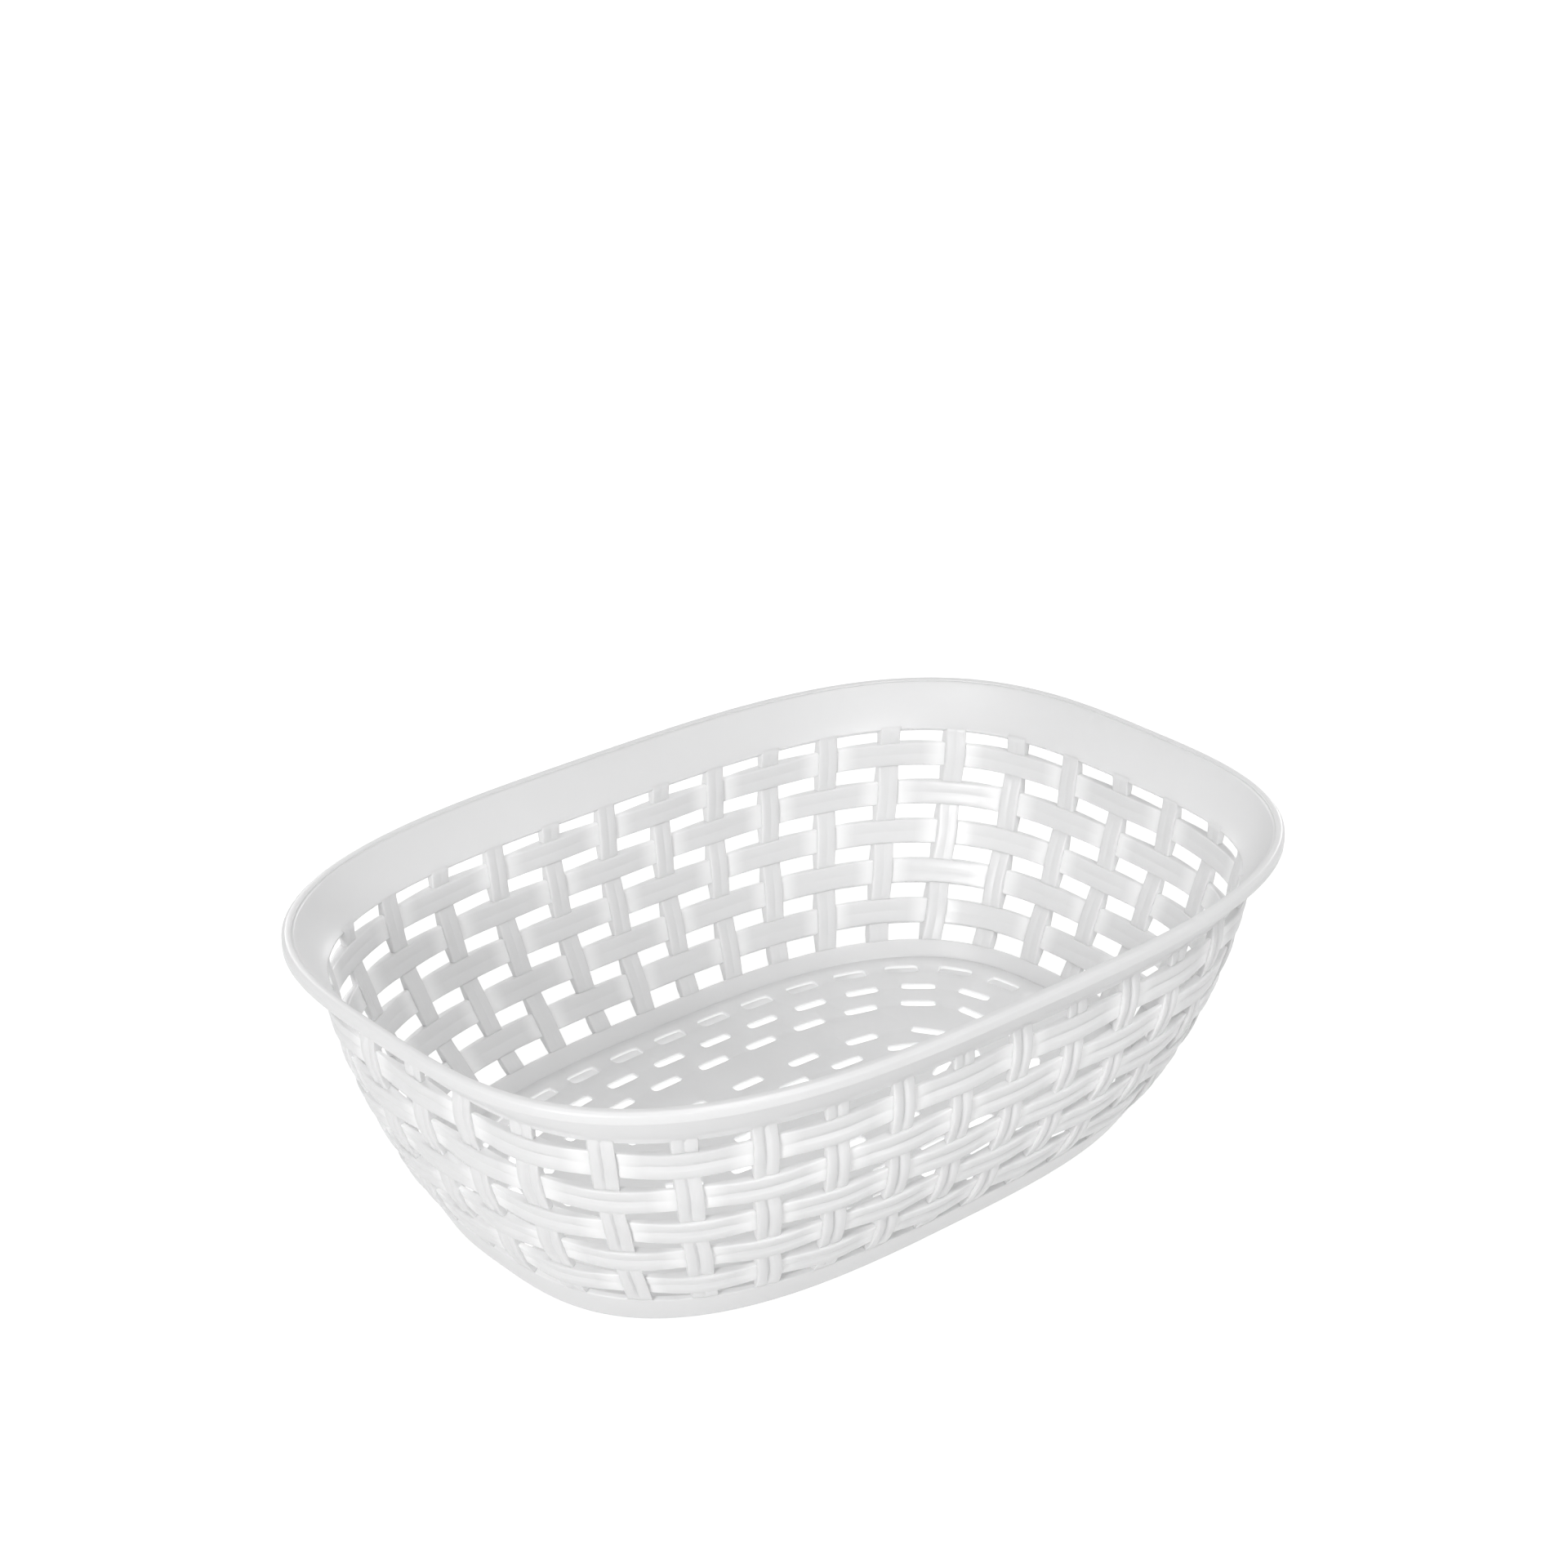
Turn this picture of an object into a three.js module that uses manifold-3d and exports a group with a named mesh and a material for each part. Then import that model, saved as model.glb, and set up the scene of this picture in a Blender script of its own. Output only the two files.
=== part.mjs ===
// An oblong plastic basket with a moulded weave: a beaded rim over a flared collar, five flat weavers laced
// through thirty-six uprights, a plain band round the foot and a slotted floor.
// The frame is in millimetres, +Z up, +X along the length, with the origin at the middle of the foot.
import * as THREE from "three";
import { mergeVertices } from "three/addons/utils/BufferGeometryUtils.js";
import Module from "manifold-3d";

// The rim, the widest level, over the lip.
const rimLength = 279;
const rimWidth = 192.4;
const rimHeight = 84.6;
const rimSquareness = 3.1;

// The wall between foot and collar, taken at the middle of its thickness.
const wallTopLength = 256;
const wallTopWidth = 172.8;
const wallTopSquareness = 3.28;
const footLength = 206.4;
const footWidth = 125.2;
const footSquareness = 2.95;
const lengthBow = 1.55; // how soon the ends turn upright as they rise
const widthBow = 2.05; // how soon the long sides turn upright
const collarFlare = 0.8; // under 1 the collar leans out at once and then turns upright

// The weave, measured along the slope of the wall.
const uprightCount = 36;
const weaverCount = 5;
const weaverHeight = 7.4;
const openingHeight = 4.6;
const uprightWidth = 6.6;
const strandThickness = 1.6;
const grooveDepth = 0.5; // the groove that parts a strand's outer face into two ribs
const grooveWidth = 1.6;
const crossingGap = 0.35; // the clearance between a weaver and an upright where they cross

// The collar and the lip, a bead along its edge.
const collarHeight = 12.8; // from the tops of the uprights to the crest of the lip
const collarThickness = 1.8;
const collarSpread = 0.3; // the collar's thickness is measured level, so it widens as the collar leans
const lipHeight = 3.4;
const lipReach = 1.8; // how far the lip stands out from the middle of the collar's edge
const lipEdge = 0.3; // the break of the lip's lower edge
const crestFall = 0.4; // how far the crest has dropped at its inner edge
const shoulderFall = 0.4; // how far it has dropped halfway out to the lip's side
const sideFall = 1.5; // how far below the crest the lip's side turns upright

// The foot band, its inner ledge and the floor that lies on the ledge.
const footThickness = 1.8;
const ledgeWidth = 2.4;
const ledgeThickness = 1.4;
const floorTop = 6.4;
const floorThickness = 1.6;
const floorClearance = 0.3;

// Rings of slots in the floor. Inset is from the floor's edge, as a share of its half width, and shift is how
// far, in pitches, a ring's first slot lies from the +X end, so that the rings are staggered like bricks.
const slotLength = 10.4;
const slotWidth = 3.2;
const outerSlotWidth = 4.4;
const slotRings = [
  { inset: 0.11, count: 32, shift: 0, width: outerSlotWidth },
  { inset: 0.27, count: 26, shift: 0, width: slotWidth },
  { inset: 0.42, count: 22, shift: 0.5, width: slotWidth },
  { inset: 0.66, count: 14, shift: 0.5, width: slotWidth },
  { inset: 0.8, count: 12, shift: 0.5, width: slotWidth },
];
const middleSlotCount = 5;
const middleSlotPitch = 18;

const ringSteps = 2 * uprightCount;
const uprightSteps = 6;

const plastic = { color: 0xf3f4f4, roughness: 0.36, metalness: 0 };

const { lerp, clamp } = THREE.MathUtils;

const wallTopHeight = rimHeight - collarHeight;

// One level of the basket: a rounded oblong, fuller at the corners than an ellipse.
class LevelOutline extends THREE.Curve {
  constructor(halfLength, halfWidth, squareness) {
    super();
    Object.assign(this, { halfLength, halfWidth, squareness });
    this.arcLengthDivisions = 720;
  }

  getPoint(turn, target = new THREE.Vector3()) {
    const x = Math.cos(2 * Math.PI * turn);
    const y = Math.sin(2 * Math.PI * turn);
    const alongLength = Math.abs(x / this.halfLength) ** this.squareness;
    const alongWidth = Math.abs(y / this.halfWidth) ** this.squareness;
    const reach = (alongLength + alongWidth) ** (-1 / this.squareness);
    return target.set(x * reach, y * reach, 0);
  }

  // The horizontal direction that faces straight out of the outline at a point on it.
  outwardAt(point) {
    const power = this.squareness - 1;
    const x = Math.sign(point.x) * Math.abs(point.x / this.halfLength) ** power;
    const y = Math.sign(point.y) * Math.abs(point.y / this.halfWidth) ** power;
    return new THREE.Vector3(x / this.halfLength, y / this.halfWidth, 0).normalize();
  }
}

// The outline of the wall, and above wallTopHeight of the collar, at a height.
const levels = new Map();
function levelAt(height) {
  if (levels.has(height)) return levels.get(height);
  const rise = clamp(height / wallTopHeight, 0, 1);
  const climb = clamp((height - wallTopHeight) / (rimHeight - wallTopHeight), 0, 1);
  const flare = climb ** collarFlare;
  const wallLength = lerp(footLength, wallTopLength, 1 - (1 - rise) ** lengthBow);
  const wallWidth = lerp(footWidth, wallTopWidth, 1 - (1 - rise) ** widthBow);
  const wallSquareness = lerp(footSquareness, wallTopSquareness, rise ** 2);
  const level = new LevelOutline(
    lerp(wallLength, rimLength - 2 * lipReach, flare) / 2,
    lerp(wallWidth, rimWidth - 2 * lipReach, flare) / 2,
    lerp(wallSquareness, rimSquareness, flare),
  );
  levels.set(height, level);
  return level;
}

// A point of a wall level, a share of the way round it, moved outward and placed at a height of its own.
function pointOn(level, share, outward, height) {
  const point = level.getPointAt(share - Math.floor(share));
  return point.addScaledVector(level.outwardAt(point), outward).setZ(height);
}

// The end wall's side view, from which distances up the slope give heights.
class WallSlope extends THREE.Curve {
  getPoint(share, target = new THREE.Vector3()) {
    const height = share * wallTopHeight;
    return target.set(levelAt(height).halfLength, height, 0);
  }
}
const slope = new WallSlope();
const slopeLength = slope.getLength();
const weaveLength = weaverCount * weaverHeight + (weaverCount + 1) * openingHeight;
const heightUpSlope = (distance) => slope.getPointAt(clamp(distance / slopeLength, 0, 1)).y;
const footBandTop = heightUpSlope(slopeLength - weaveLength);

// A closed solid through sections of equally many points. Seen from ahead, a section's points run
// counter-clockwise. Without an end outline the sections close into a ring, and with one both ends are capped.
function loft(sections, endOutline) {
  const size = sections[0].length;
  const last = (sections.length - 1) * size;
  const spans = endOutline ? sections.length - 1 : sections.length;
  const index = [];
  for (let i = 0; i < spans; i++) {
    const here = i * size;
    const next = ((i + 1) % sections.length) * size;
    for (let k = 0; k < size; k++) {
      const after = (k + 1) % size;
      index.push(here + k, here + after, next + after);
      index.push(here + k, next + after, next + k);
    }
  }
  const caps = endOutline ? THREE.ShapeUtils.triangulateShape(endOutline, []) : [];
  for (const [a, b, c] of caps) {
    index.push(a, c, b);
    index.push(last + a, last + b, last + c);
  }
  const positions = sections.flat().flatMap((point) => point.toArray());
  const geometry = new THREE.BufferGeometry();
  geometry.setAttribute("position", new THREE.Float32BufferAttribute(positions, 3));
  geometry.setIndex(index);
  geometry.computeVertexNormals();
  return geometry;
}

// A ring that follows the wall all the way round. Its profile is a list of corners, clockwise with the outside
// of the basket to the right: the level whose outline it follows, how far outward of it, and its own height.
function wallRing(profile) {
  const sections = Array.from({ length: ringSteps }, (_, step) =>
    profile.map(([level, outward, height = level]) =>
      pointOn(levelAt(level), step / ringSteps, outward, height),
    ),
  );
  return loft(sections);
}

// A strand's cross-section: a flat bar with a groove along its outer face. x is outward through the wall, and y
// runs across the strand.
function strandProfile(width) {
  const half = strandThickness / 2;
  return [
    new THREE.Vector2(-half, -width / 2),
    new THREE.Vector2(half, -width / 2),
    new THREE.Vector2(half, -grooveWidth / 2),
    new THREE.Vector2(half - grooveDepth, 0),
    new THREE.Vector2(half, grooveWidth / 2),
    new THREE.Vector2(half, width / 2),
    new THREE.Vector2(-half, width / 2),
  ];
}

// A straight upright from the foot band to the collar. Its ends are cut level.
function uprightGeometry(number) {
  const profile = strandProfile(uprightWidth);
  const sections = Array.from({ length: uprightSteps + 1 }, (_, step) => {
    const height = lerp(footBandTop, wallTopHeight, step / uprightSteps);
    const level = levelAt(height);
    const around = level.getLength();
    return profile.map(({ x, y }) => pointOn(level, number / uprightCount + y / around, x, height));
  });
  return loft(sections, profile);
}

// A weaver laced round the basket: outside one upright, inside the next. Weavers take turns, and those with
// an odd number, counted down from the collar, lie outside the upright at the +X end.
function weaverGeometry(number) {
  const profile = strandProfile(weaverHeight).reverse();
  const fromTop = number * openingHeight + (number - 0.5) * weaverHeight;
  const fromFoot = slopeLength - fromTop;
  const around = levelAt(heightUpSlope(fromFoot)).getLength();
  const swing = strandThickness + crossingGap;
  const clearOfUpright = (uprightWidth / 2 + crossingGap) / around;
  const sections = [];
  for (let upright = 0; upright < uprightCount; upright++) {
    const side = (upright + number) % 2 ? swing : -swing;
    for (const place of [-clearOfUpright, 0, clearOfUpright]) {
      const corners = profile.map(({ x, y }) => {
        const height = heightUpSlope(fromFoot + y);
        return pointOn(levelAt(height), upright / uprightCount + place, side + x, height);
      });
      sections.push(corners);
    }
  }
  return loft(sections);
}

// The collar, from the tops of the uprights to the lip, thicker level with the ground as it leans out.
const lipFoot = rimHeight - lipHeight;
function collarHalf(height) {
  const climb = (height - wallTopHeight) / (rimHeight - wallTopHeight);
  return (collarThickness / 2) * (1 + collarSpread * climb);
}
const collarHeights = [0, 1 / 3, 2 / 3, 1].map((share) => lerp(wallTopHeight, lipFoot, share));
const collarProfile = [
  ...collarHeights.map((height) => [height, -collarHalf(height)]),
  ...collarHeights.toReversed().map((height) => [height, collarHalf(height)]),
];

// The lip: the end of the collar, thickened outward into a bead with a rounded crest and an upright side. Its
// distances are outward of the middle of the collar's edge.
const crestHalf = collarHalf(rimHeight);
const lipProfile = [
  [lipFoot, -collarHalf(lipFoot)],
  [rimHeight, -crestHalf, rimHeight - crestFall],
  [rimHeight, 0],
  [rimHeight, lipReach / 2, rimHeight - shoulderFall],
  [rimHeight, lipReach, rimHeight - sideFall],
  [rimHeight, lipReach, lipFoot + lipEdge],
  [rimHeight, lipReach - lipEdge, lipFoot],
  [lipFoot, collarHalf(lipFoot)],
];

// The band round the foot, with a ledge inside for the floor.
const ledgeTop = floorTop - floorThickness;
const footHalf = footThickness / 2;
const footMiddle = (ledgeTop + footBandTop) / 2;
const footProfile = [
  [0, -footHalf],
  [ledgeTop - ledgeThickness, -footHalf],
  [ledgeTop, -footHalf - ledgeWidth, ledgeTop - ledgeThickness],
  [ledgeTop, -footHalf - ledgeWidth],
  [ledgeTop, -footHalf],
  [footMiddle, -footHalf],
  [footBandTop, -footHalf],
  [footBandTop, footHalf],
  [footMiddle, footHalf],
  [0, footHalf],
];

const solids = await Module();
solids.setup();

// A geometry as a solid to cut with, and a solid as a geometry.
function solidFrom(geometry) {
  const bare = new THREE.BufferGeometry().setIndex(geometry.index);
  const welded = mergeVertices(bare.setAttribute("position", geometry.getAttribute("position")));
  return new solids.Manifold(
    new solids.Mesh({
      numProp: 3,
      vertProperties: welded.getAttribute("position").array,
      triVerts: new Uint32Array(welded.index.array),
    }),
  );
}
function geometryFrom(solid) {
  const mesh = solid.getMesh();
  const geometry = new THREE.BufferGeometry();
  geometry.setAttribute("position", new THREE.BufferAttribute(mesh.vertProperties, 3));
  geometry.setIndex(new THREE.BufferAttribute(mesh.triVerts, 1));
  geometry.computeVertexNormals();
  return geometry;
}

// A bar that cuts one slot through the floor, turned so that its length lies square to a direction.
function slotCutter(x, y, outward, width) {
  const bar = new THREE.BoxGeometry(width, slotLength, 3 * floorThickness);
  bar.rotateZ(Math.atan2(outward.y, outward.x));
  return solidFrom(bar.translate(x, y, floorThickness / 2));
}

// The floor: a flat plate that drops onto the ledge, pierced by rings of slots and a row along its middle.
function floorGeometry() {
  const level = levelAt(ledgeTop);
  const fromWall = footHalf + floorClearance;
  const edge = Array.from({ length: ringSteps }, (_, step) => {
    const { x, y } = pointOn(level, step / ringSteps, -fromWall, 0);
    return new THREE.Vector2(x, y);
  });
  const plate = new THREE.ExtrudeGeometry(new THREE.Shape(edge), {
    depth: floorThickness,
    bevelEnabled: false,
  });
  const cutters = [];
  for (const ring of slotRings) {
    const inset = fromWall + ring.inset * (level.halfWidth - fromWall);
    const outline = new LevelOutline(
      level.halfLength - inset,
      level.halfWidth - inset,
      level.squareness,
    );
    for (let slot = 0; slot < ring.count; slot++) {
      const centre = outline.getPointAt((slot + ring.shift) / ring.count);
      cutters.push(slotCutter(centre.x, centre.y, outline.outwardAt(centre), ring.width));
    }
  }
  const acrossBasket = new THREE.Vector2(0, 1);
  for (let slot = 0; slot < middleSlotCount; slot++) {
    const x = (slot - (middleSlotCount - 1) / 2) * middleSlotPitch;
    cutters.push(slotCutter(x, 0, acrossBasket, slotWidth));
  }
  return geometryFrom(solidFrom(plate).subtract(solids.Manifold.union(cutters)));
}

const basket = new THREE.Group();
function addPiece(name, geometry) {
  const piece = new THREE.Mesh(geometry, new THREE.MeshStandardMaterial(plastic));
  piece.name = name;
  basket.add(piece);
  return piece;
}

addPiece("rim_lip", wallRing(lipProfile));
addPiece("rim_collar", wallRing(collarProfile));
for (let number = 1; number <= weaverCount; number++) {
  addPiece(`weaver_${number}`, weaverGeometry(number));
}
for (let number = 0; number < uprightCount; number++) {
  addPiece(`upright_${String(number + 1).padStart(2, "0")}`, uprightGeometry(number));
}
addPiece("foot_band", wallRing(footProfile));
addPiece("floor_panel", floorGeometry()).position.z = ledgeTop;

export default basket;
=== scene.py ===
import math

import bmesh
import bpy
import numpy as np
from mathutils import Matrix, Vector


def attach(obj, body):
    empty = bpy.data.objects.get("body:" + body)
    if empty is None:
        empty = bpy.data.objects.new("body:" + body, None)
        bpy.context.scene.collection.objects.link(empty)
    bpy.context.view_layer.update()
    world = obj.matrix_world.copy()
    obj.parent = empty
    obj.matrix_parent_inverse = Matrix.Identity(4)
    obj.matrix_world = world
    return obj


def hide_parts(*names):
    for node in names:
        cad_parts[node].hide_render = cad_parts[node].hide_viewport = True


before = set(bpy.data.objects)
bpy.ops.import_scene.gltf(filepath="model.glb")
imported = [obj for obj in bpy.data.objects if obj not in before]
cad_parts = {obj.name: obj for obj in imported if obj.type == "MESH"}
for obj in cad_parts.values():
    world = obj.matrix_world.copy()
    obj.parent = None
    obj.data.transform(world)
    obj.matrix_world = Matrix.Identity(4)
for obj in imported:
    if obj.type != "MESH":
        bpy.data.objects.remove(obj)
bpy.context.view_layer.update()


# Camera: a short telephoto in front of the basket's left end, a little above it, looking down into the mouth.
# It is aimed well above the foot, so the basket stands low in the picture, as in the photograph.
MM = 0.001
camera_azimuth = math.radians(-41.11)
camera_elevation = math.radians(31.21)
camera_distance = 920.9 * MM
picture_width = 1920
focal_share = 3946.3 / picture_width
foot_right_of_middle = 18.1 / picture_width
foot_below_middle = 426.1 / picture_width
sensor_width = 36

to_camera = Vector((
    math.sin(camera_azimuth) * math.cos(camera_elevation),
    -math.cos(camera_azimuth) * math.cos(camera_elevation),
    math.sin(camera_elevation),
))
turn = (
    Matrix.Rotation(camera_azimuth, 4, "Z")
    @ Matrix.Rotation(math.pi / 2 - camera_elevation, 4, "X")
    @ Matrix.Rotation(math.atan(foot_right_of_middle / focal_share), 4, "Y")
    @ Matrix.Rotation(math.atan(foot_below_middle / focal_share), 4, "X")
)
camera = bpy.data.objects.new("camera", bpy.data.cameras.new("camera"))
camera.matrix_world = Matrix.Translation(to_camera * camera_distance) @ turn
camera.data.sensor_width = sensor_width
camera.data.lens = sensor_width * focal_share
camera.data.clip_start = 0.05
camera.data.clip_end = 50
bpy.context.scene.collection.objects.link(camera)
bpy.context.scene.camera = camera
bpy.context.scene.view_settings.view_transform = "Standard"


# Shader maths: a socket that takes part in Python sums, and one method for every other node. The floor, the tent and
# the plastic below are written with these two.
class Value:
    def __init__(self, tree, socket):
        self.tree = tree
        self.socket = socket

    def beside(self, output):
        """Another output of the same node."""
        return Value(self.tree, self.socket.node.outputs[output])

    def maths(self, operation, other, swapped=False):
        node = self.tree.nodes.new("ShaderNodeMath")
        node.operation = operation
        pair = (other, self) if swapped else (self, other)
        for place, given in zip(node.inputs, pair):
            if isinstance(given, Value):
                self.tree.links.new(given.socket, place)
            else:
                place.default_value = given
        return Value(self.tree, node.outputs[0])

    def __add__(self, other):
        return self.maths("ADD", other)

    def __radd__(self, other):
        return self.maths("ADD", other, True)

    def __sub__(self, other):
        return self.maths("SUBTRACT", other)

    def __rsub__(self, other):
        return self.maths("SUBTRACT", other, True)

    def __mul__(self, other):
        return self.maths("MULTIPLY", other)

    def __rmul__(self, other):
        return self.maths("MULTIPLY", other, True)


class Shading:
    def __init__(self, owner):
        owner.use_nodes = True
        self.tree = owner.node_tree
        self.tree.nodes.clear()

    def node(self, kind, settings=None, output=0, **inputs):
        """One output of a new node. An input goes by its name, with _ for a space, or by _ and its number."""
        made = self.tree.nodes.new("ShaderNode" + kind)
        for key, value in (settings or {}).items():
            setattr(made, key, value)
        for key, value in inputs.items():
            place = made.inputs[int(key[1:]) if key[1:].isdigit() else key.replace("_", " ")]
            if isinstance(value, Value):
                self.tree.links.new(value.socket, place)
            else:
                place.default_value = value
        return Value(self.tree, made.outputs[output])

    def grey(self, level):
        """A colour from one changing level."""
        return self.node("CombineXYZ", X=level, Y=level, Z=level)

    def show(self, surface, kind):
        out = self.tree.nodes.new("ShaderNodeOutput" + kind)
        self.tree.links.new(surface.socket, out.inputs["Surface"])


# Floor: a plain white studio sweep. Most of its white is its own, for the camera and for reflections only, and more of
# it far out, where the lamps don't reach, so the floor keeps the basket's soft shadow. To soft light it is a paper
# that gives off a little light of its own, most of it inside the foot, where the slots and the plastic let light in.
inside_foot = (9.82, 16.34)  # one over the half length and the half width of the lit patch, in metres
inside_squareness = 3.0
under_foot_glow = 0.75
paper_haze = 0.28
own_white_near = 0.78
own_white_gain = 0.2
own_white_spread = 1.5

floor_material = bpy.data.materials.new("studio_white")
sweep = Shading(floor_material)
spot_x = sweep.node("SeparateXYZ", Vector=sweep.node("TexCoord", output="Object"))
spot_y = spot_x.beside("Y")
share_x, share_y = (
    (spot * inside).maths("ABSOLUTE", 0.0).maths("POWER", inside_squareness)
    for spot, inside in zip((spot_x, spot_y), inside_foot)
)
under_foot = (share_x + share_y).maths("LESS_THAN", 1.0)
glow = sweep.node("Emission", Color=sweep.grey(under_foot), Strength=under_foot_glow)
haze = sweep.node("Emission", Color=(1, 1, 1, 1), Strength=paper_haze)
lit_paper = sweep.node("BsdfDiffuse", Color=(0.45, 0.45, 0.45, 1))
paper = sweep.node("AddShader", _0=lit_paper, _1=sweep.node("AddShader", _0=glow, _1=haze))
far_out = ((spot_x * spot_x + spot_y * spot_y) * own_white_spread).maths("MINIMUM", 1.0)
own_white = sweep.node("Emission", Color=sweep.grey(far_out * own_white_gain + own_white_near), Strength=1.0)
shaded_white = sweep.node("BsdfDiffuse", Color=(0.4, 0.4, 0.4, 1))
white_seen = sweep.node("AddShader", _0=shaded_white, _1=own_white)
camera_ray = sweep.node("LightPath", output="Is Camera Ray")
seen = camera_ray.maths("MAXIMUM", camera_ray.beside("Is Glossy Ray"))
seen = seen.maths("MAXIMUM", camera_ray.beside("Is Transmission Ray"))
sweep.show(sweep.node("MixShader", _0=seen, _1=paper, _2=white_seen), "Material")

floor_half = 8
floor_drop = 0.2 * MM
floor_mesh = bmesh.new()
bmesh.ops.create_grid(floor_mesh, x_segments=1, y_segments=1, size=floor_half)
bmesh.ops.translate(floor_mesh, vec=(0, 0, -floor_drop), verts=floor_mesh.verts)
studio_floor = bpy.data.objects.new("studio_floor", bpy.data.meshes.new("studio_floor"))
floor_mesh.to_mesh(studio_floor.data)
floor_mesh.free()
studio_floor.data.materials.append(floor_material)
bpy.context.scene.collection.objects.link(studio_floor)


# Light: a dim white tent all round, a little brighter overhead, and five soft lamps. The key lamp on the left favours
# the near end, the back lamp makes every upward edge gleam, the top lamp lights the inside and the floor, and weak
# low ones light the far end and the near long side.
tent_low = 0.205
tent_gain = 0.2

world = bpy.data.worlds.new("white_tent")
bpy.context.scene.world = world
tent = Shading(world)
direction = tent.node("TexCoord", output="Generated")
upward = tent.node("SeparateXYZ", output="Z", Vector=direction).maths("MAXIMUM", 0.0)
tent_light = upward * tent_gain + tent_low
tent_ray = tent.node("LightPath", output="Is Camera Ray")
tent_seen = tent_ray.maths("MAXIMUM", tent_ray.beside("Is Glossy Ray"))
tent_strength = tent_light + tent_seen * (1 - tent_light)
tent.show(tent.node("Background", Color=(1, 1, 1, 1), Strength=tent_strength), "World")

lamp_target = Vector((0, 0, 0.04))
for name, place, lamp_size, power in [
    ("back_lamp", (0.3, 1.3, 0.75), 0.4, 4),
    ("side_lamp", (1.35, 0.45, 0.48), 0.4, 4),
    ("key_lamp", (-1.4, -0.6, 0.55), 0.4, 13),
    ("top_lamp", (0.1, -0.9, 1.4), 0.5, 7.5),
    ("fill_lamp", (0.3, -1.4, 0.12), 0.4, 3),
]:
    lamp = bpy.data.objects.new(name, bpy.data.lights.new(name, "AREA"))
    lamp.data.shape = "SQUARE"
    lamp.data.size = lamp_size
    lamp.data.energy = power
    lamp.location = place
    lamp.rotation_euler = (lamp_target - Vector(place)).to_track_quat("-Z", "Y").to_euler()
    bpy.context.scene.collection.objects.link(lamp)


# The plastic: one white polypropylene for the whole moulding, half glossy, with the faint unevenness and fine grain
# that the mould leaves on it. Where a strand thins out, its colour is painted lighter: a painted glow that stands in
# for the light that comes through. The mesh of such a strand says where.
white_plastic = bpy.data.materials.new("white_plastic")
plastic = Shading(white_plastic)
coordinates = plastic.node("TexCoord", output="Object")
cloud = plastic.node("TexNoise", {"noise_dimensions": "4D"}, Vector=coordinates, W=1.0, Scale=28.0, Detail=2.0)
ripple = plastic.node("TexNoise", Vector=coordinates, Scale=140.0, Detail=1.0)
grain = plastic.node("TexNoise", Vector=coordinates, Scale=2600.0, Detail=1.0)
relief = plastic.node("Bump", Height=ripple * 0.7 + grain * 0.12, Strength=0.25, Distance=0.0002)
blend = {"data_type": "RGBA"}
clouded = plastic.node("Mix", blend, output=2, Factor=cloud, _6=(0.76, 0.76, 0.762, 1), _7=(0.8, 0.8, 0.802, 1))
# Painted glow: where a strand sinks and thins, its base colour is painted a lighter white for the light that comes
# through.
painted_glow = plastic.node("Attribute", {"attribute_name": "painted_glow"}, output="Fac")
tone = plastic.node("Mix", blend, output=2, Factor=painted_glow, _6=clouded, _7=(0.95, 0.95, 0.95, 1))
body = plastic.node(
    "BsdfPrincipled",
    Base_Color=tone,
    Roughness=0.3 + cloud * 0.12,
    IOR=1.49,
    Subsurface_Weight=0.3,
    Subsurface_Radius=(1, 1, 1),
    Subsurface_Scale=0.0025,
    Normal=relief,
)
plastic.show(body, "Material")


# The wall's shape: every level of the basket is a rounded oblong that widens from the foot to the collar and flares
# to the rim. Pieces are first made straight, with x as the share of the way round, y outward and z up, and are
# then wrapped round these levels.
rim_size = (275.4, 188.8, 3.1)
wall_top_size = (256.0, 172.8, 3.28)
foot_size = (206.4, 125.2, 2.95)
rim_height = 84.6
wall_top = 71.8
length_bow = 1.55
width_bow = 2.05
flare_bow = 0.8
outline_steps = 1440
level_count = 120


def level_sizes(height):
    """Half length, half width and squareness of a level."""
    rise = np.clip(height / wall_top, 0, 1)
    flare = np.clip((height - wall_top) / (rim_height - wall_top), 0, 1) ** flare_bow
    shares = (1 - (1 - rise) ** length_bow, 1 - (1 - rise) ** width_bow, rise**2)
    sizes = [f + (w - f) * s for f, w, s in zip(foot_size, wall_top_size, shares)]
    length, width, squareness = (s + (r - s) * flare for s, r in zip(sizes, rim_size))
    return length / 2, width / 2, squareness


def oblong_point(angle, half_length, half_width, squareness):
    c = np.cos(angle)
    s = np.sin(angle)
    reach = np.abs(c / half_length) ** squareness + np.abs(s / half_width) ** squareness
    reach = reach ** (-1 / squareness)
    return c * reach, s * reach


def way_along(x, y):
    """How far along a line of points each one lies."""
    return np.concatenate([[0], np.cumsum(np.hypot(np.diff(x), np.diff(y)))])


turn_angles = np.linspace(0, 2 * math.pi, outline_steps + 1)
share_steps = np.linspace(0, 1, outline_steps + 1)
angle_rows = []
for height in np.linspace(0, rim_height, level_count):
    around = way_along(*oblong_point(turn_angles, *level_sizes(height)))
    angle_rows.append(np.interp(share_steps, around / around[-1], turn_angles))
angle_rows = np.array(angle_rows)


def angle_at(share, height):
    turns = np.floor(share)
    across = (share - turns) * outline_steps
    up = np.clip(height / rim_height, 0, 1) * (level_count - 1)
    i = np.minimum(across.astype(int), outline_steps - 1)
    j = np.minimum(up.astype(int), level_count - 2)
    u = across - i
    v = up - j
    low = angle_rows[j, i] * (1 - u) + angle_rows[j, i + 1] * u
    high = angle_rows[j + 1, i] * (1 - u) + angle_rows[j + 1, i + 1] * u
    return low * (1 - v) + high * v + turns * 2 * math.pi


def wall_point(share, height):
    return np.stack([*oblong_point(angle_at(share, height), *level_sizes(height)), height], axis=-1)


share_nudge = 0.0005


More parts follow.
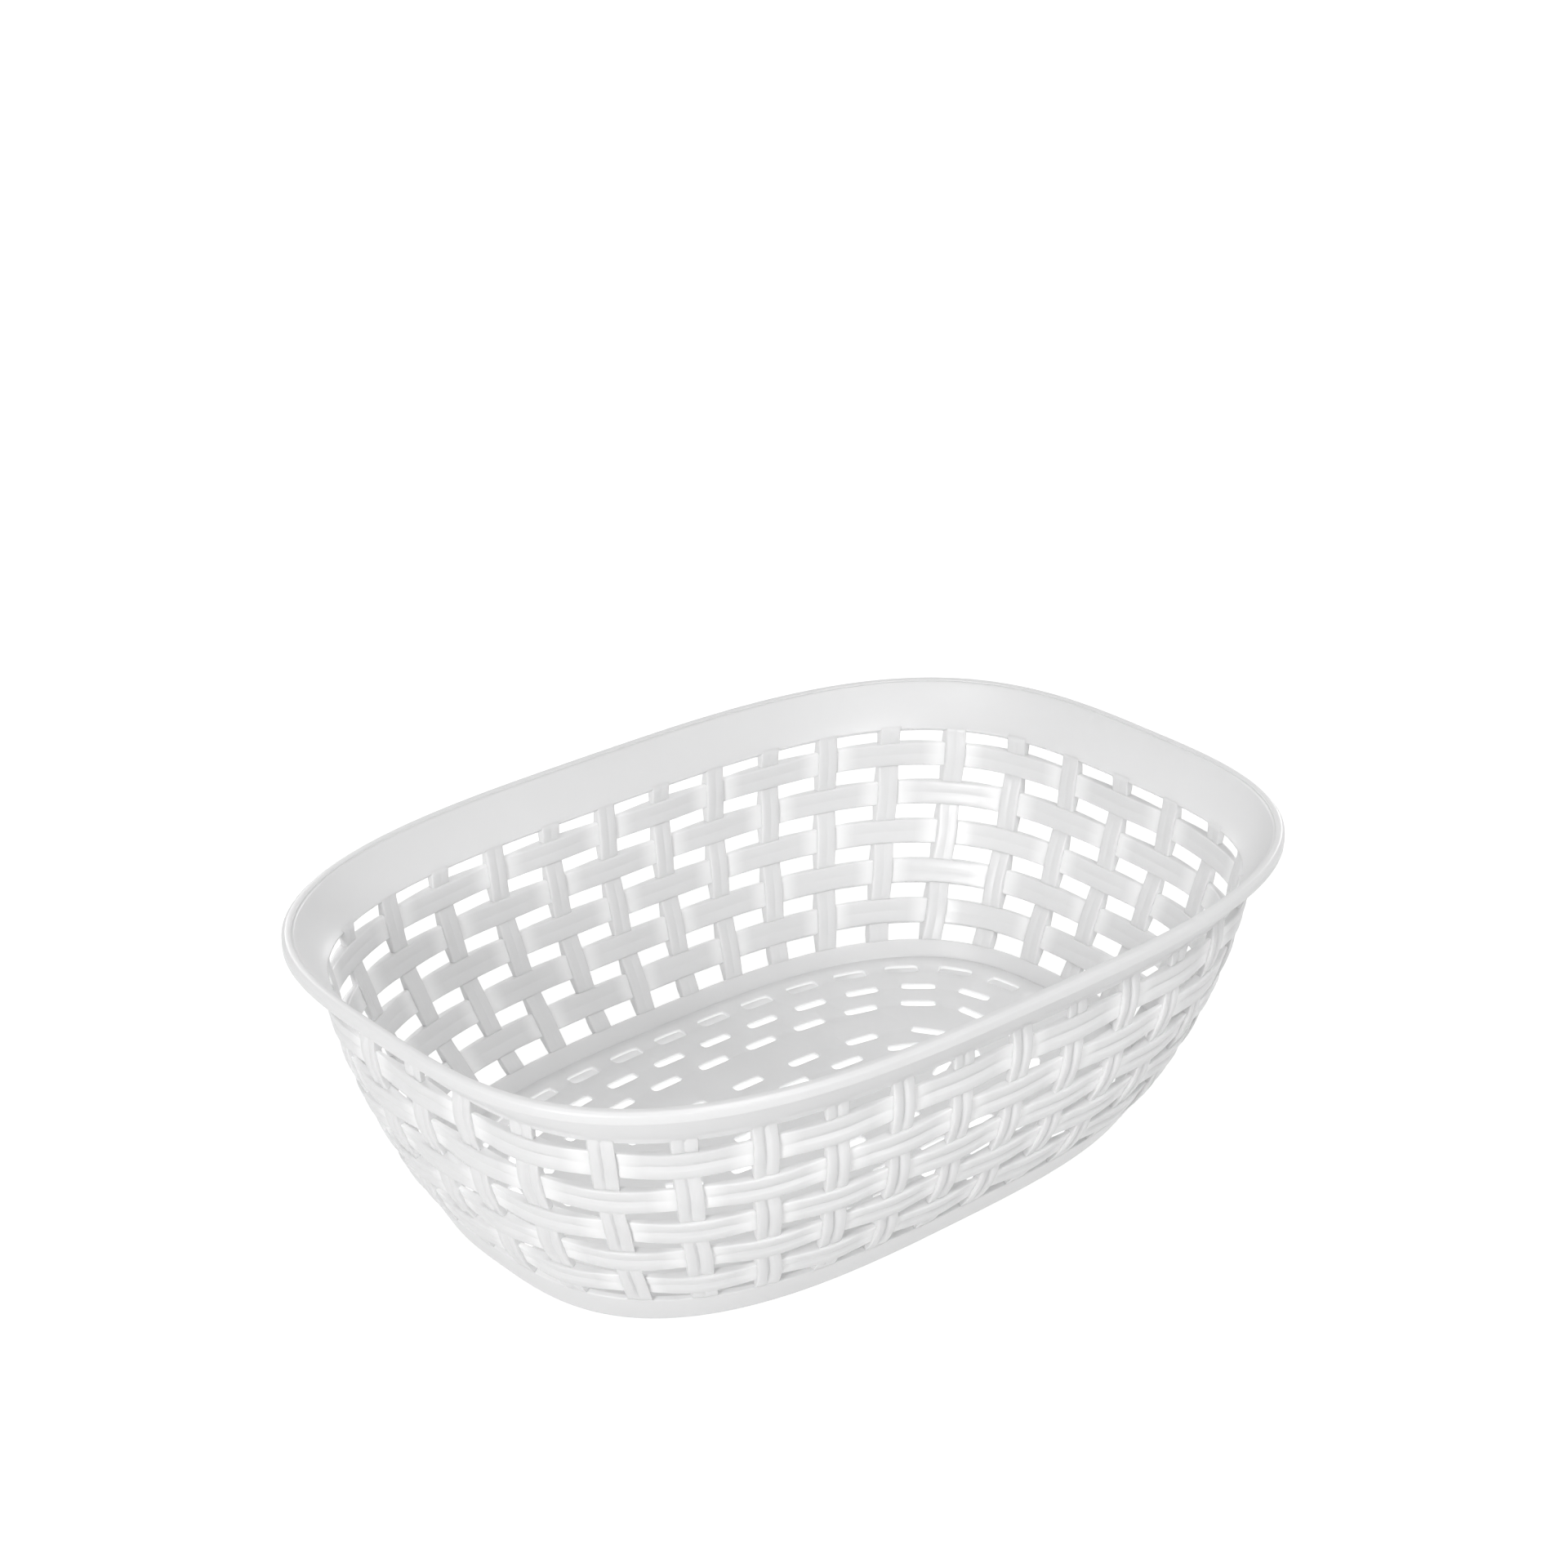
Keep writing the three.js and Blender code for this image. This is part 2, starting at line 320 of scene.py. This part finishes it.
def wrap(share, outward, height, along=None, pull=None):
    """The place, in metres, of a point outward of the wall: level, square to the wall (along), or shifted (pull)."""
    place = wall_point(share, height)
    ahead = wall_point(share + share_nudge, height) - wall_point(share - share_nudge, height)
    facing = np.stack([ahead[:, 1], -ahead[:, 0], np.zeros(len(share))], axis=-1)
    if along is not None:
        climb = wall_point(share, height + along) - wall_point(share, height - along)
        facing = np.cross(ahead, climb)
    facing /= np.linalg.norm(facing, axis=1, keepdims=True)
    if pull is not None:
        facing = pull / (facing @ pull)[:, None]
    return (place + outward[:, None] * facing) * MM


def unrolled(points, steps):
    """A flat sheet to be rolled into a bar of length 1 along x: y runs once round the bar's section."""
    sheet = bmesh.new()
    bmesh.ops.create_grid(sheet, x_segments=steps, y_segments=points, size=0.5)
    bmesh.ops.translate(sheet, vec=(0.5, 0.5, 0), verts=sheet.verts)
    return sheet


def sheet_places(sheet):
    places = np.array([vertex.co for vertex in sheet.verts])
    return places[:, 0], places[:, 1]


def move_to(sheet, places):
    for vertex, place in zip(sheet.verts, places.tolist()):
        vertex.co = place


def along_line(turn, corners):
    """The points at shares of the way round a closed line through corners, each side taking an equal share."""
    closed = np.array(corners + corners[:1], float)
    steps = np.linspace(0, 1, len(closed))
    return np.interp(turn, steps, closed[:, 0]), np.interp(turn, steps, closed[:, 1])


seam_reach = 0.002 * MM


def add_piece(name, bar, node):
    """Closes the seams, turns the faces outward, and puts the piece in the place of a CAD node."""
    bmesh.ops.remove_doubles(bar, verts=bar.verts, dist=seam_reach)
    open_edges = [edge for edge in bar.edges if edge.is_boundary]
    if open_edges:
        bmesh.ops.holes_fill(bar, edges=open_edges)
    bmesh.ops.recalc_face_normals(bar, faces=bar.faces)
    piece = bpy.data.objects.new(name, bpy.data.meshes.new(name))
    bar.to_mesh(piece.data)
    bar.free()
    piece.data.materials.append(white_plastic)
    piece.data.shade_smooth()
    bpy.context.scene.collection.objects.link(piece)
    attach(piece, "root")
    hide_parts(node)


# Weavers: five flat strands laced round the basket, each moulded with two ribs. A weaver swells over one upright, on
# the outside and on the inside alike, and sinks into the next, and neighbouring weavers take turns. A strand is a
# little narrower on the inside, and where it thins out beside a crossing strand its colour is painted lighter, a
# painted glow for the light that comes through.
upright_count = 36
weaver_count = 5
weaver_height = 7.4
opening_height = 4.6
weaver_steps = upright_count * 16
proud_outside = 1.95
proud_inside = 1.3
sunk_outside = 0.85
sunk_inside = 0.45
groove_depth = 0.85
groove_half = 0.32
inner_groove_share = 0.2
groove_onset = 1.6
taper = 0.07
slope_step = 0.4
painted_glow_gain = 1.25
painted_glow_bow = 1.3

# The section of a strand: across, as a share of its half width, and how much of its thickness it has there.
half_face = [(0.05, 1), (0.27, 1), (0.36, 1), (0.65, 1), (0.88, 0.99), (0.96, 0.9), (0.99, 0.76), (1, 0.55)]
face_line = [(-across, level) for across, level in reversed(half_face)] + [(0, 1)] + half_face
strand_line = [(-1, 0)] + face_line + [(1, 0)] + [(-across, -level) for across, level in face_line]

slope_heights = np.linspace(0, wall_top, 400)
slope_run = way_along(slope_heights, level_sizes(slope_heights)[0])
slope_length = slope_run[-1]


def height_at(distance_down):
    return np.interp(slope_length - distance_down, slope_run, slope_heights)


def weaver_middle(number):
    return number * opening_height + (number - 0.5) * weaver_height


def strand_surface(across, level, over):
    """How far out of the wall a strand's skin lies, where it swells over a crossing strand (1) or sinks (-1)."""
    sunk = np.where(level > 0, sunk_outside, sunk_inside)
    proud = np.where(level > 0, proud_outside, proud_inside)
    groove = np.where(level > 0, groove_depth, inner_groove_share * groove_depth)
    groove = groove * np.clip(1 - np.abs(across) / groove_half, 0, 1)
    rise = 0.5 + 0.5 * over
    return level * (sunk + (proud - sunk) * rise - groove * np.clip(groove_onset * rise, 0, 1))


for number in range(1, weaver_count + 1):
    strand = unrolled(len(strand_line), weaver_steps)
    share, turn = sheet_places(strand)
    across, level = along_line(turn, strand_line)
    over = np.cos(math.pi * (share * upright_count + number + 1))
    heights = height_at(weaver_middle(number) - across * (1 + taper * level) * weaver_height / 2)
    move_to(strand, wrap(share, strand_surface(across, level, over), heights, along=slope_step))
    # Painted glow mask: how much lighter the colour is painted where the strand sinks beside a crossing strand.
    painted_glow_layer = strand.verts.layers.float.new("painted_glow")
    for vertex, amount in zip(strand.verts, np.clip(-painted_glow_gain * over, 0, 1) ** painted_glow_bow):
        vertex[painted_glow_layer] = amount
    add_piece(f"woven_band_{number}", strand, f"weaver_{number}")


# Uprights: thirty-six straight strands with the same two ribs, from the foot band into the collar. Each swells where
# the weaver that crosses it sinks. Their sides lean toward the way that a slide of the mould drew out of the wall,
# straight along the basket or straight across it.
upright_width = 6.4
upright_steps = 56
row_pitch = weaver_height + opening_height
foot_band_height = float(height_at(weaver_count * weaver_height + (weaver_count + 1) * opening_height))
end_length = 1.2
end_half = 0.8
end_slope = 0.22
slide_parting = 0.7
wall_pull = 0.6
oblong_round = 1.72
facing_height = 40.0
facing_nudge = 0.001

for number in range(upright_count):
    beside = wall_point(
        number / upright_count + np.array([-facing_nudge, facing_nudge]),
        np.array([facing_height, facing_height]),
    )
    step = beside[1] - beside[0]
    facing = np.array([step[1], -step[0], 0]) / np.hypot(step[0], step[1])
    across_basket = abs(facing[1]) > slide_parting * abs(facing[0])
    drawn = np.array([0, np.sign(facing[1]), 0]) if across_basket else np.array([np.sign(facing[0]), 0, 0])
    strand = unrolled(len(strand_line), upright_steps)
    share, turn = sheet_places(strand)
    across, level = along_line(turn, strand_line)
    bottom = slope_length - np.interp(foot_band_height, slope_heights, slope_run) + end_length
    down = share * (bottom + end_length) - end_length
    over = -np.cos(math.pi * ((down - weaver_middle(1)) / row_pitch + number))
    from_end = np.minimum(down, bottom - end_length - down)
    most = end_half + end_slope * from_end
    outward = np.clip(strand_surface(across, level, over), -most, most)
    heights = height_at(np.maximum(down, 0)) + np.maximum(-down, 0)
    half_length, half_width, _ = level_sizes(heights)
    around = 2 * (half_length + half_width) * oblong_round
    share = number / upright_count + across * (1 + taper * level) * upright_width / 2 / around
    move_to(strand, wrap(share, outward, heights, along=slope_step, pull=drawn + wall_pull * facing))
    add_piece(f"rib_{number + 1:02d}", strand, f"upright_{number + 1:02d}")


# Foot band: the plain band that the basket stands on, with rounded edges, an outer top edge that is drawn down a
# little, and a thin ledge inside for the floor.
foot_half = 0.9
foot_drawn_down = 0.8
ledge_width = 2.4
ledge_thickness = 1.4
floor_top = 6.4
floor_thickness = 1.1
ledge_top = floor_top - floor_thickness
ring_steps = 360


def rounded_line(corners, radius, longest=1.2):
    """A closed line through corners, each one rounded, with points along its long sides as well."""
    bends = []
    for i, place in enumerate(corners):
        corner = Vector(place)
        before = Vector(corners[i - 1]) - corner
        after = Vector(corners[(i + 1) % len(corners)]) - corner
        cut = min(radius, 0.45 * before.length, 0.45 * after.length)
        start = corner + before.normalized() * cut
        end = corner + after.normalized() * cut
        bends += [(1 - t) ** 2 * start + 2 * t * (1 - t) * corner + t * t * end for t in (0, 0.33, 0.67, 1)]
    line = []
    for here, ahead in zip(bends, bends[1:] + bends[:1]):
        steps = max(1, round((ahead - here).length / longest))
        line += [tuple(here.lerp(ahead, k / steps)) for k in range(steps)]
    return line


def ring_piece(name, line, level_of, node):
    """A ring whose section is a line of places outward of a level and up. A rule gives each place its level."""
    ring = unrolled(len(line), ring_steps)
    share, turn = sheet_places(ring)
    outward, heights = along_line(turn, line)
    places = wrap(share, outward, level_of(outward, heights))
    places[:, 2] = heights * MM
    move_to(ring, places)
    add_piece(name, ring, node)


def foot_level(outward, heights):
    return np.where(outward < -foot_half - 0.01, ledge_top, heights)


foot_corners = [
    (-foot_half, 0.0),
    (-foot_half, ledge_top - ledge_thickness),
    (-foot_half - ledge_width, ledge_top - ledge_thickness),
    (-foot_half - ledge_width, ledge_top),
    (-foot_half, ledge_top),
    (-foot_half, foot_band_height),
    (foot_half, foot_band_height - foot_drawn_down),
    (foot_half, 0.0),
]
ring_piece("plain_foot", rounded_line(foot_corners, 0.4), foot_level, "foot_band")


# Collar: the smooth trumpet between the weave and the lip. Its lower edge is drawn down outside, over the tops of the
# uprights.
collar_half = 0.9
collar_top_half = 1.15
collar_top = 84.2
collar_drawn_down = 1.5


def own_level(outward, heights):
    return heights


collar_corners = [
    (-collar_half, wall_top),
    (-collar_top_half, collar_top),
    (collar_top_half, collar_top),
    (collar_half, wall_top - collar_drawn_down),
]
ring_piece("flared_collar", rounded_line(collar_corners, 0.5), own_level, "rim_collar")


# Lip: the bead along the collar's edge, with a rounded crest, an upright side and a broken lower edge. Its inner part
# is buried in the collar.
lip_height = 3.4
lip_reach = 1.8


def rim_level(outward, heights):
    return np.full(len(heights), rim_height)


lip_corners = [
    (-0.6, rim_height - lip_height),
    (-0.95, rim_height - 0.8),
    (-0.9, rim_height),
    (0.9, rim_height),
    (lip_reach, rim_height - 0.9),
    (lip_reach, rim_height - lip_height),
    (0.3, rim_height - lip_height - 0.4),
]
ring_piece("rolled_lip", rounded_line(lip_corners, 0.35, 0.6), rim_level, "rim_lip")


# Floor: a flat plate on the foot band's ledge, pierced by rings of slots with soft edges and a row along its middle.
# A ring's place is a share of the way in from the edge, and its shift is in pitches, so that slots stand like bricks.
floor_clearance = 0.3
floor_points = 288
slot_points = 20
slot_bow = 0.4
slot_length = 10.4
slot_width = 3.2
outer_slot_width = 4.4
slot_rings = [
    (0.11, 32, 0.0, outer_slot_width),
    (0.27, 26, 0.0, slot_width),
    (0.42, 22, 0.5, slot_width),
    (0.66, 14, 0.5, slot_width),
    (0.8, 12, 0.5, slot_width),
]
middle_slot_count = 5
middle_slot_pitch = 18.0
slot_nudge = 0.002
sharp_angle = 1.2
edge_round = 0.3

plate = bmesh.new()
bmesh.ops.create_circle(plate, segments=floor_points, radius=1)
rim_verts = plate.verts[:]
half_length, half_width, squareness = (float(s) for s in level_sizes(np.array(ledge_top)))
from_wall = foot_half + floor_clearance
shares = np.arange(len(rim_verts)) / len(rim_verts)
edge_places = wrap(shares, np.full(len(shares), -from_wall), np.full(len(shares), ledge_top))
for vertex, place in zip(rim_verts, edge_places):
    vertex.co = (place[0], place[1], 0)


def cut_slot(x, y, facing, width):
    slot = bmesh.ops.create_circle(plate, segments=slot_points, radius=1)["verts"]
    for vertex in slot:
        a, b = vertex.co.x, vertex.co.y
        vertex.co.x = math.copysign(abs(a) ** slot_bow, a) * width / 2 * MM
        vertex.co.y = math.copysign(abs(b) ** slot_bow, b) * slot_length / 2 * MM
    place = Matrix.Translation((x * MM, y * MM, 0)) @ Matrix.Rotation(facing, 4, "Z")
    bmesh.ops.transform(plate, matrix=place, verts=slot)


for share_in, count, shift, width in slot_rings:
    inset = from_wall + share_in * (half_width - from_wall)
    x, y = oblong_point(turn_angles, half_length - inset, half_width - inset, squareness)
    around = way_along(x, y)
    around = around / around[-1]
    for slot in range(count):
        share = ((slot + shift) / count) % 1
        px, py = np.interp(share, around, x), np.interp(share, around, y)
        qx, qy = np.interp(share + slot_nudge, around, x), np.interp(share + slot_nudge, around, y)
        rx, ry = np.interp(share - slot_nudge, around, x), np.interp(share - slot_nudge, around, y)
        if share < slot_nudge:
            rx, ry = qx, -qy
        cut_slot(px, py, math.atan2(qy - ry, qx - rx) - math.pi / 2, width)
for slot in range(middle_slot_count):
    cut_slot((slot - (middle_slot_count - 1) / 2) * middle_slot_pitch, 0, math.pi / 2, slot_width)

bmesh.ops.triangle_fill(plate, use_beauty=True, use_dissolve=False, edges=plate.edges[:])
raised = bmesh.ops.extrude_face_region(plate, geom=plate.faces[:])["geom"]
raised_verts = [part for part in raised if isinstance(part, bmesh.types.BMVert)]
bmesh.ops.translate(plate, vec=(0, 0, floor_thickness * MM), verts=raised_verts)
bmesh.ops.translate(plate, vec=(0, 0, ledge_top * MM), verts=plate.verts)
bmesh.ops.recalc_face_normals(plate, faces=plate.faces)
sharp = [edge for edge in plate.edges if len(edge.link_faces) == 2 and edge.calc_face_angle() > sharp_angle]
bmesh.ops.bevel(
    plate,
    geom=sharp,
    offset=edge_round * MM,
    affect="EDGES",
    segments=2,
    profile=0.5,
    material=-1,
    clamp_overlap=True,
)
add_piece("slotted_floor", plate, "floor_panel")
